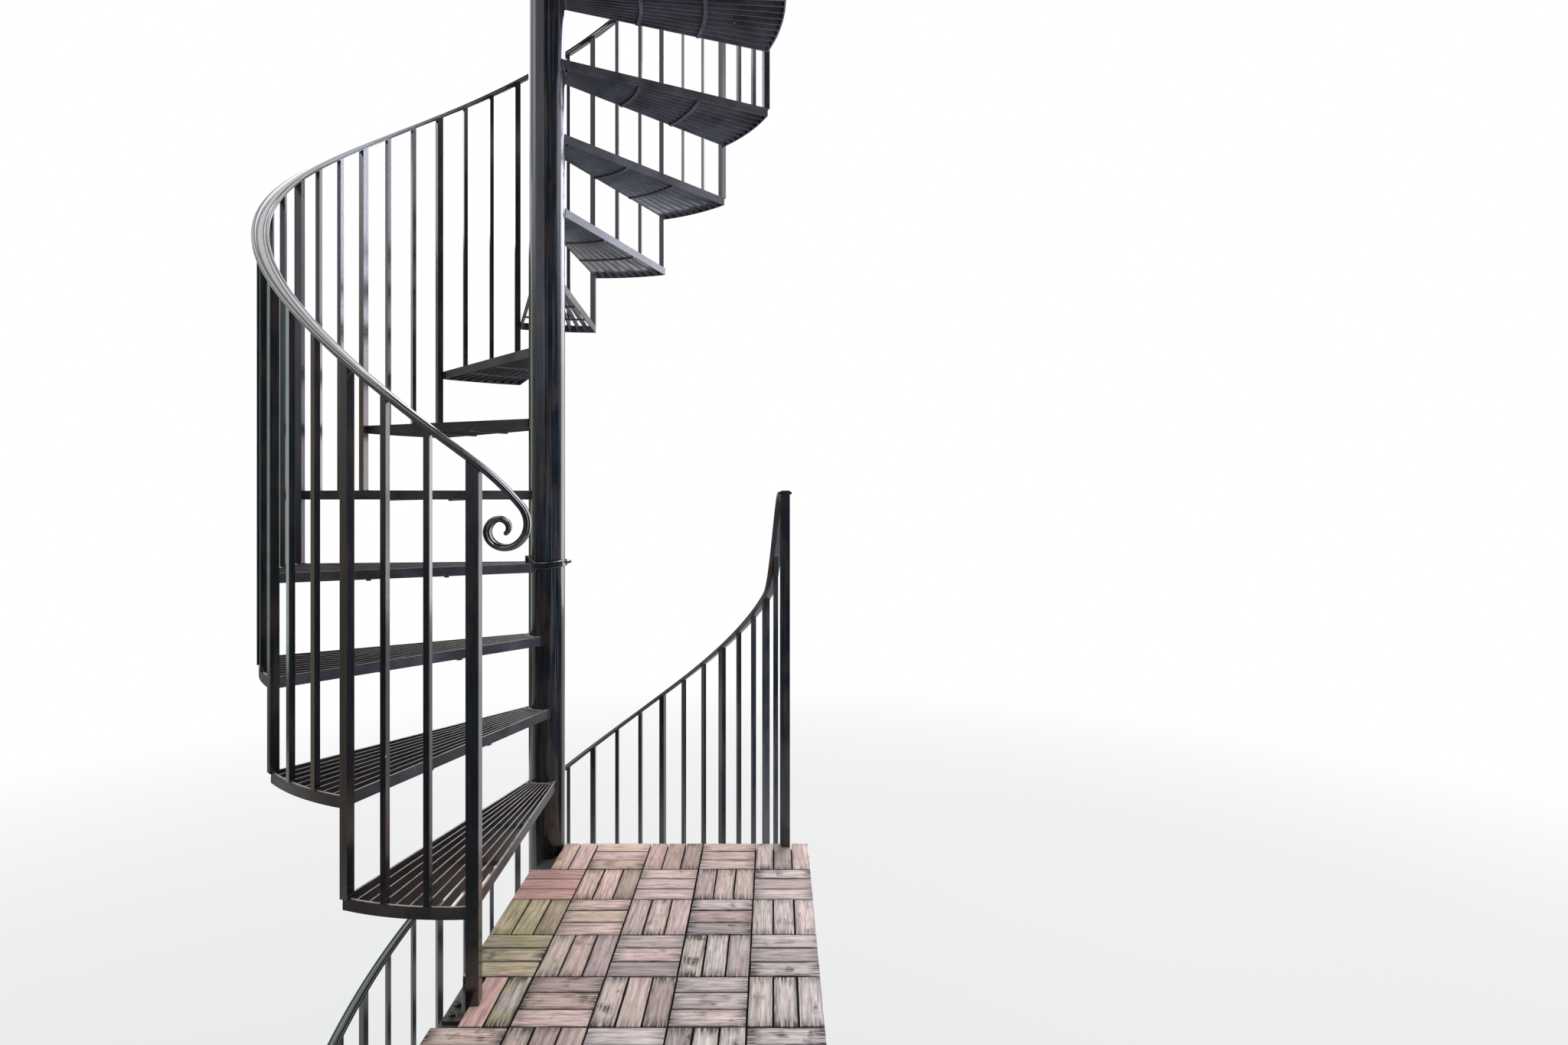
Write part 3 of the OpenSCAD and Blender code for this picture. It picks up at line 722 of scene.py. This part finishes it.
def landing_grid(label, top):
    boxes = notches(label)
    low, high = top - DECK_T, top - DECK_T + BACKING
    bm = bmesh.new()
    edge = GAP / 2
    board(bm, (edge, -LANDING_L + edge, LANDING_W - edge, -edge), boxes, high - SHEET_T, high, 0)
    for x in ribs(COLUMNS, LANDING_W):
        board(bm, (x - RIB_T / 2, -LANDING_L + edge, x + RIB_T / 2, -edge), boxes, low, high - SHEET_T, 0)
    for y in ribs(ROWS, LANDING_L):
        board(bm, (edge, -y - RIB_T / 2, LANDING_W - edge, -y + RIB_T / 2), boxes, low, high - SHEET_T, 0)
    piece(bm, label + "_deck_grid", backing_plastic, [label + "_landing_deck"], smooth=0)


landing_grid("mid", MID_Z)
landing_grid("top", TOP_Z)

# %% [markdown]
# ## Welds
# Every joint of the stair is arc welded and painted over. A bump could fake the beads, but they show in outline at
# the pole. A bead is a small five-sided ring that is extruded along its line, thicker and thinner by turns, like the
# ripples that the welder leaves. A tack is one squashed ball.

# %% Beads and tacks
BEAD = [(math.cos(math.radians(72 * i)), math.sin(math.radians(72 * i))) for i in range(5)]
RIPPLE = 0.004


def bead(bm, line, radius, chance):
    stations = []
    for i, point in enumerate(line):
        along = (line[min(i + 1, len(line) - 1)] - line[max(i - 1, 0)]).normalized()
        across = along.cross(Vector((0, 0, 1)))
        across = across.normalized() if across.length > 0.2 else Vector((1, 0, 0))
        size = radius * chance.uniform(0.8, 1.2) * (0.5 if i in (0, len(line) - 1) else 1)
        stations.append(station(point, across, along, across.cross(along), size))
    sweep(bm, BEAD, stations)


def upright_bead(bm, foot, height, radius, chance):
    steps = max(2, round(height / RIPPLE))
    bead(bm, [foot + lift(height * i / steps) for i in range(steps + 1)], radius, chance)


def tack(bm, place, radius, chance):
    made = bmesh.ops.create_uvsphere(bm, u_segments=6, v_segments=4, radius=radius)["verts"]
    squash = Matrix.Diagonal((chance.uniform(0.8, 1.3), chance.uniform(0.8, 1.3), chance.uniform(0.7, 1.0), 1))
    bmesh.ops.transform(bm, matrix=Matrix.Translation(place) @ squash, verts=made)


# %% [markdown]
# A tread is welded all round the pole and at its two outer corners to the balusters, and each baluster's foot is
# tacked to the rim that it stands on. The places could be picked on the solids by hand. They are worked out from the
# drawing's sizes instead, because the same seams come back at all 26 treads.

# %% Welds at the pole
FRAME_H, ROOT_W = 0.0254, 0.070
MAIN_BAR, NEWEL_OFF = 0.019, 0.006
PROUD = 0.001
RING_R, RING_STEPS, RING_BEAD = POLE_R + 0.0008, 22, 0.0021
SEAM_ASIDE, SEAM_BEAD = 1.5, 0.0024


def pole_welds(bm, flight, i, chance):
    """A bead above and one below a tread's plate, round the pole, and one up each of its sides."""
    top = flight["floor"] + i * RISE
    lead_w, lead_off = (POST, NEWEL_OFF) if i == 1 else (MAIN_BAR, MAIN_BAR / 2 + SEAT)
    lead_r, half = RIM_R - lead_w / 2, ROOT_W / 2
    front = math.radians(PITCH / 2) - math.asin(lead_off / lead_r) - math.asin(half / lead_r)
    rear = math.radians(PITCH / 2) + math.asin(MAIN_BAR / 2 / RIM_R) - math.asin(half / RIM_R)
    middle = flight["start"] + (i - 0.5) * PITCH
    start = middle - math.degrees(front + math.asin(half / POLE_R))
    end = middle + math.degrees(rear + math.asin(half / POLE_R))
    for level in (top - PROUD, top - FRAME_H + PROUD):
        arc = [RING_R * out_dir(start + (end - start) * k / RING_STEPS) + lift(level)
               for k in range(RING_STEPS + 1)]
        bead(bm, arc, RING_BEAD, chance)
    for angle in (start - SEAM_ASIDE, end + SEAM_ASIDE):
        foot = (POLE_R + PROUD) * out_dir(angle) + lift(top - FRAME_H)
        upright_bead(bm, foot, FRAME_H, SEAM_BEAD, chance)


# %% Welds at the corners
FILL_BAR = 0.0127
CORNER_BEAD, CORNER_ASIDE = 0.0019, 0.003
TACK, BIG_TACK = 0.0022, 0.0022 * 1.2


def beside(angle, radius, side, height):
    """A point at a bar: how far from the stair's axis, how far up the stair from the bar's middle, how high."""
    return radius * out_dir(angle) - side * down_dir(angle) + lift(height)


def corner_welds(bm, flight, i, chance):
    """Beads up a tread's seams at its front bar, and tacks at the feet of the bars that stand on it."""
    top = flight["floor"] + i * RISE
    lead = flight["start"] + (i - 1) * PITCH
    if i == 1:
        seams = ((RIM_R - POST / 2 - PROUD, NEWEL_OFF - PROUD), (RIM_R - CORNER_ASIDE, POST / 2 + PROUD),
                 (RIM_R + CORNER_ASIDE, POST / 2 + PROUD))
    else:
        seams = ((RIM_R - MAIN_BAR / 2 - PROUD, MAIN_BAR / 2 + PROUD / 2),
                 (RIM_R + CORNER_ASIDE, MAIN_BAR / 2 + PROUD))
    for radius, side in seams:
        upright_bead(bm, beside(lead, radius, side, top - FRAME_H), FRAME_H, CORNER_BEAD, chance)
    if i < flight["count"]:
        rear = lead + PITCH
        tack(bm, beside(rear, RIM_R - MAIN_BAR / 2 - PROUD, MAIN_BAR / 2 - 0.0024, top), BIG_TACK, chance)
        tack(bm, beside(rear, RIM_R, -MAIN_BAR / 2 - PROUD, top), BIG_TACK, chance)
    for j in (1, 2):
        for side in (-1, 1):
            tack(bm, beside(lead + j * PITCH / 3, RIM_R, side * (FILL_BAR / 2 + 0.0008), top), TACK, chance)


# %% Welds of both flights
for label, flight, seed in (("lower", LOWER, 3), ("upper", UPPER, 5)):
    chance = random.Random(seed)
    bm = bmesh.new()
    for i in range(1, flight["count"] + 1):
        pole_welds(bm, flight, i, chance)
        corner_welds(bm, flight, i, chance)
    piece(bm, label + "_welds", tread_enamel, smooth=60)

# %% [markdown]
# ## Bolts
# Two bolts hold the foot plate of each newel, and four anchors the base plate. A thread could be cut on the shank,
# but only its end shows. So each bolt is three short cylinders: a washer, a hexagon and the shank's end, with their
# outer edges chamfered.

# %% A bolt with its washer
# sides, width, foot and top of the washer, the hexagon and the shank's end, in widths of the shank
BOLT_PARTS = ((16, 2.1, 0.0, 0.16), (6, 1.85, 0.16, 0.85), (10, 0.9, 0.85, 1.05))
CHAMFER = 0.06


def bolt(bm, place, shank, down=False):
    """A bolt's head on a plate; the same shape turned over is the nut under it."""
    whole = []
    for sides, width, low, high in BOLT_PARTS:
        radius = width * shank / 2
        made = bmesh.ops.create_cone(bm, cap_ends=True, segments=sides, radius1=radius, radius2=radius,
                                     depth=(high - low) * shank)["verts"]
        bmesh.ops.translate(bm, vec=lift((low + high) / 2 * shank), verts=made)
        edges = dict.fromkeys(e for v in made for e in v.link_edges)
        rim = [e for e in edges if all(v.co.z > high * shank - 1e-7 for v in e.verts)]
        grown = bmesh.ops.bevel(bm, geom=rim, offset=CHAMFER * shank, segments=1, affect="EDGES",
                                profile=0.5, material=-1)
        whole += [v for v in set(made) | set(grown["verts"]) if v.is_valid]
    turn = Matrix.Rotation(math.pi if down else 0, 4, "X")
    bmesh.ops.transform(bm, matrix=Matrix.Translation(place) @ turn, verts=list(set(whole)))


# %% Bolts of the newels and the base
SHANK, ANCHOR = 0.010, 0.013
FOOT_T, ANGLE_T, BASE_T = 0.008, 0.0064, 0.0127
MID_HOLE_X, FOOT_HOLE, ANCHOR_R = 0.021, 0.030, 0.120

bm = bmesh.new()
for side in (-1, 1):
    spot = Vector((MID_HOLE_X, NEWEL.y + side * PLATE_W / 4, MID_Z - DECK_T))
    bolt(bm, spot + lift(FOOT_T), SHANK)
    bolt(bm, spot - lift(ANGLE_T), SHANK, down=True)
piece(bm, "mid_newel_bolts", bar_enamel, smooth=30)

bm = bmesh.new()
for side in (-1, 1):
    spot = (RIM_R + side * FOOT_HOLE) * out_dir(LOWER["start"]) + side * FOOT_HOLE * down_dir(LOWER["start"])
    bolt(bm, spot + lift(FOOT_T), SHANK)
for i in range(4):
    bolt(bm, ANCHOR_R * out_dir(45 + 90 * i) + lift(BASE_T), ANCHOR)
piece(bm, "anchor_bolts", zinc, smooth=30)

# %% [markdown]
# ## The band on the pole
# A black steel strap lies on the fourth tread's plate and sags round the front of the pole. It has a square buckle
# on its left, and on the right its ends are drawn together by twisted wire. A ring from a torus would be quicker,
# but it would be round in section and level. So the strap's flat section is swept round the pole as the rail's is.

# %% Band and buckle
STRAP = [(0.0036, -0.0093), (0.005, -0.0078), (0.005, 0.0078), (0.0036, 0.0093), (-0.0006, 0.0093),
         (-0.0006, -0.0093)]
STRAP_START, STRAP_END, STRAP_STEP = 96, 440, 4
STRAP_R, OUTER_R = POLE_R + 0.0008, POLE_R + 0.0055
BAND_Z = UPPER["floor"] + 4 * RISE + 0.0045
BUCKLE_AT, BUCKLE = 246, (0.008, 0.020, 0.0205)


def band_point(angle, radius):
    """The strap's middle: high at the west, where it lies on the tread, lowest at the front, higher right."""
    west = -math.sin(math.radians(angle))
    share = min(1, max(0, (west - 0.3) / 0.5))
    rise = -0.010 + 0.0155 * share * share * (3 - 2 * share) + 0.004 * max(0, -west)
    return radius * out_dir(angle) + lift(BAND_Z + rise)


def band():
    bm = bmesh.new()
    sweep(bm, STRAP, [station(band_point(angle, STRAP_R), out_dir(angle), -down_dir(angle), Vector((0, 0, 1)))
                      for angle in range(STRAP_START, STRAP_END + 1, STRAP_STEP)])
    buckle = bmesh.ops.create_cube(bm, size=1)["verts"]
    turn = Matrix.Rotation(math.radians(90 - BUCKLE_AT), 4, "Z")
    place = Matrix.Translation(band_point(BUCKLE_AT, OUTER_R) + lift(0.001)) @ turn
    bmesh.ops.transform(bm, matrix=place @ Matrix.Diagonal((*BUCKLE, 1)), verts=buckle)
    edges = list(dict.fromkeys(e for v in buckle for e in v.link_edges))
    bmesh.ops.bevel(bm, geom=edges, offset=0.0015, segments=2, affect="EDGES", profile=0.5, material=-1)
    return bm


piece(band(), "pole_band", bar_enamel, ["pole_clamp"], smooth=40)

# %% Twisted wire
WIRE_AT, WIRE_R, TURNS, WIRE_STEPS = 90, 0.0016, 3, 24
WIRE_REACH = Vector((0.0155, -0.001, 0.0045))


def twisted_wire():
    """Two strands, twisted three turns away from the pole, their tails bent apart, and the knot on the strap."""
    chance = random.Random(9)
    bm = bmesh.new()
    start = band_point(WIRE_AT, OUTER_R)
    side, up = Vector((0.0, 1.0, 0.0)), Vector((-0.28, 0.0, 0.96))
    for strand in (0, math.pi):
        line = []
        for k in range(WIRE_STEPS + 1):
            share, turn = k / WIRE_STEPS, strand + k / WIRE_STEPS * TURNS * 2 * math.pi
            wide = 0.0024 + 0.003 * max(0, share - 0.8) * 5 * (1 if strand else -0.6)
            line.append(start + WIRE_REACH * share + wide * (math.cos(turn) * side + math.sin(turn) * up))
        bead(bm, line, WIRE_R, chance)
    knot = [band_point(WIRE_AT + k, OUTER_R) + lift(0.003 * math.sin(k)) for k in range(-8, 9, 2)]
    bead(bm, knot, 0.003, chance)
    return bm


piece(twisted_wire(), "band_wire", zinc, ["pole_clamp"], smooth=60)

# %% [markdown]
# ## Floor and backdrop
# A pale floor and a white world carry the stair as a studio would. Strong lamps could bleach them, but they would
# bleach the wood too. So the white is only what the camera and mirrors see: the floor glows for their rays, more
# and more with the distance, and keeps the stair's shadow near it.

# %% Planes of the stage


def aimed(place, aim):
    return (Vector(aim) - Vector(place)).to_track_quat("-Z", "Y").to_euler()


def stage_plane(name, width, height, place, turn, material):
    bm = bmesh.new()
    made = bmesh.ops.create_grid(bm, x_segments=1, y_segments=1, size=0.5)["verts"]
    bmesh.ops.scale(bm, vec=(width, height, 1), verts=made)
    mesh = bpy.data.meshes.new(name)
    bm.to_mesh(mesh)
    bm.free()
    mesh.materials.append(material)
    plane = bpy.data.objects.new(name, mesh)
    plane.location = place
    plane.rotation_euler = turn
    bpy.context.scene.collection.objects.link(plane)
    return plane


def seen_rays(owner):
    """One for rays that the camera sees, straight or in a mirror or glass, else nought."""
    ray = add(owner, "LightPath").node.outputs
    mirrored = add(owner, "Math", (ray["Is Camera Ray"], ray["Is Glossy Ray"]), operation="MAXIMUM")
    return add(owner, "Math", (mirrored, ray["Is Transmission Ray"]), operation="MAXIMUM")


# %% Floor
FLOOR_SIZE, FLOOR_DROP = 600, 0.0005
GLOW_NEAR, GLOW_FAR = 2, 14

floor_paint, shader = new_finish("pale_studio_floor")
fill(floor_paint, shader, {"Base Color": linear("#c4c4c4"), "Roughness": 0.9, "Specular IOR Level": 0.1})
place = add(floor_paint, "TexCoord", out="Object")
distance = add(floor_paint, "VectorMath", (place,), "Value", operation="LENGTH")
share = add(floor_paint, "MapRange", (distance, GLOW_NEAR, GLOW_FAR))
share = add(floor_paint, "Math", (share, 0.5, 0.5), operation="MULTIPLY_ADD")
share = add(floor_paint, "Math", (share, seen_rays(floor_paint)), operation="MULTIPLY")
glow = add(floor_paint, "Emission", {"Color": (1, 1, 1, 1), "Strength": 1.0})
mixed = add(floor_paint, "MixShader", (share, shader.outputs[0], glow))
fill(floor_paint, floor_paint.node_tree.nodes["Material Output"], {"Surface": mixed})
stage_plane("floor", FLOOR_SIZE, FLOOR_SIZE, (0, 0, -FLOOR_DROP), (0, 0, 0), floor_paint)
print("the floor glows from %d to %d m" % (GLOW_NEAR, GLOW_FAR))

# %% World
world = bpy.data.worlds.new("studio")
bpy.context.scene.world = world
world.use_nodes = True
world.node_tree.nodes.clear()
soft = add(world, "Background", {"Color": (0.93, 0.96, 1, 1), "Strength": 0.55})
white = add(world, "Background", {"Color": (1, 1, 1, 1), "Strength": 1.0})
mixed = add(world, "MixShader", (seen_rays(world), soft, white))
add(world, "OutputWorld", {"Surface": mixed})
print("world:", world.name)

# %% [markdown]
# ## Lamps
# The light is soft and comes mostly from above and behind, as on a dull day. One lamp like the sun would be
# quicker, but it would throw hard shadows, which the photograph doesn't have. Two weak fills keep the sides from
# going black, greenish at the left and warm at the right. One more, bluish, from low at the right, lights the
# undersides of the upper treads, which are blue-grey in the photograph. The last two stay out of reflections,
# where they would draw bright patches.

# %% Soft boxes


def soft_box(name, place, aim, width, height, watts, tint=(1, 1, 1), mirrored=True):
    data = bpy.data.lights.new(name, "AREA")
    data.shape = "RECTANGLE"
    data.size, data.size_y = width, height
    data.energy = watts
    data.color = tint
    lamp = bpy.data.objects.new(name, data)
    lamp.location = place
    lamp.rotation_euler = aimed(place, aim)
    lamp.visible_camera = False
    lamp.visible_glossy = mirrored
    bpy.context.scene.collection.objects.link(lamp)
    print("%s: %d W" % (name, watts))


soft_box("overhead_box", (0, 0.5, 10.5), (0, 0, 4), 6, 5, 150)
soft_box("back_sky", (-1.5, 7, 9.5), (0, 0, 4), 9, 4.5, 300)
soft_box("right_box", (5.0, 6.2, 6.4), (0, 0, 5), 3.6, 6.0, 210)
soft_box("left_fill", (-6.5, 1.0, 5.0), (0, 0, 4.5), 2, 5, 60, (0.72, 0.92, 0.86))
soft_box("right_fill", (6.0, -2.0, 4.4), (0, 0, 4.6), 3, 4, 110, (1, 0.93, 0.88), mirrored=False)
soft_box("low_fill", (2.4, -1.0, 2.2), (0.4, 0.2, 5.9), 2, 2, 290, (0.5, 0.68, 1), mirrored=False)

# %% [markdown]
# ## Cards for the mirrored light
# Black paint shows little but what it mirrors. A picture of real surroundings on the world could give it that, but
# cards that only mirrors see are easy to place and to change one by one. A dark one behind the camera and another at
# the right front keep the fronts of the bars black. Behind the camera to the left, and at the left, stand cards that
# are bright above and dim below, for the sheen of the upper bars, which fades downwards. One at the left back is
# greenish grey, and a bright one hangs high behind the stair. Of two at the right, a far one is bright above and
# dark below, and a small near one draws the bright line down the pole and lights the right faces of the bars.

# %% One card


def card(name, place, aim, width, height, hex_colour, strength, low=None, fade=None):
    """A card that glows. It may have a lower colour and strength, which fade into the upper between two levels."""
    cloth, shader = new_finish(name + "_cloth")
    glow = linear(hex_colour)
    if low:
        up = add(cloth, "SeparateXYZ", {"Vector": add(cloth, "TexCoord", out="Object")}, "Y")
        span = [level - place[2] for level in fade]
        share = add(cloth, "MapRange", (up, span[0], span[1]))
        low_glow, high_glow = [c * low[1] for c in linear(low[0])], [c * strength for c in glow]
        glow = add(cloth, "Mix", {0: share, 6: low_glow, 7: high_glow}, 2, data_type="RGBA")
        strength = 1.0
    fill(cloth, shader, {"Base Color": (0, 0, 0, 1), "Roughness": 1.0, "Emission Color": glow,
                         "Emission Strength": strength})
    plane = stage_plane(name, width, height, place, aimed(place, aim), cloth)
    plane.visible_camera = False
    plane.visible_diffuse = False
    plane.visible_shadow = False
    print("%s: %.2f by %.2f m" % (name, width, height))


# %% All cards
card("dark_back_card", (0.6, -6.5, 4.5), (0.6, 0, 4.5), 18, 18, "#101214", 1.0)
card("behind_left_card", (-3.2, -5.0, 4.5), (-1.25, -0.4, 4.5), 7.2, 18, "#d9deec", 0.95,
     ("#3c4048", 0.5), (3.4, 6.0))
card("left_card", (-7, -4, 4.5), (0, -4, 4.5), 6, 14, "#e2e8ee", 3.0, ("#c9b59c", 0.9), (5.6, 8.4))
card("left_back_card", (-4.9, 5.0, 4.0), (0, 0, 4.0), 16, 6, "#848e88", 0.65)
card("far_right_card", (6.5, 1.75, 4.5), (0, 1.75, 4.5), 5.3, 9, "#dfe4f4", 2.2,
     ("#1d222d", 1.0), (5.8, 7.4))
card("dark_right_card", (6.5, -2.9, 4.5), (0, -2.9, 4.5), 4, 9, "#1d222d", 1.0)
card("sky_card", (-4.0, 5.5, 9.0), (0, 0, 4.5), 9, 6, "#ece6f2", 3.4)
card("right_card", (1.15, 1.05, 5.4), (0, 0, 5.4), 0.95, 3.6, "#e4e8fb", 11, ("#e8e2e4", 4.5), (4.7, 5.6))

# %% View settings
bpy.context.scene.view_settings.view_transform = "Standard"
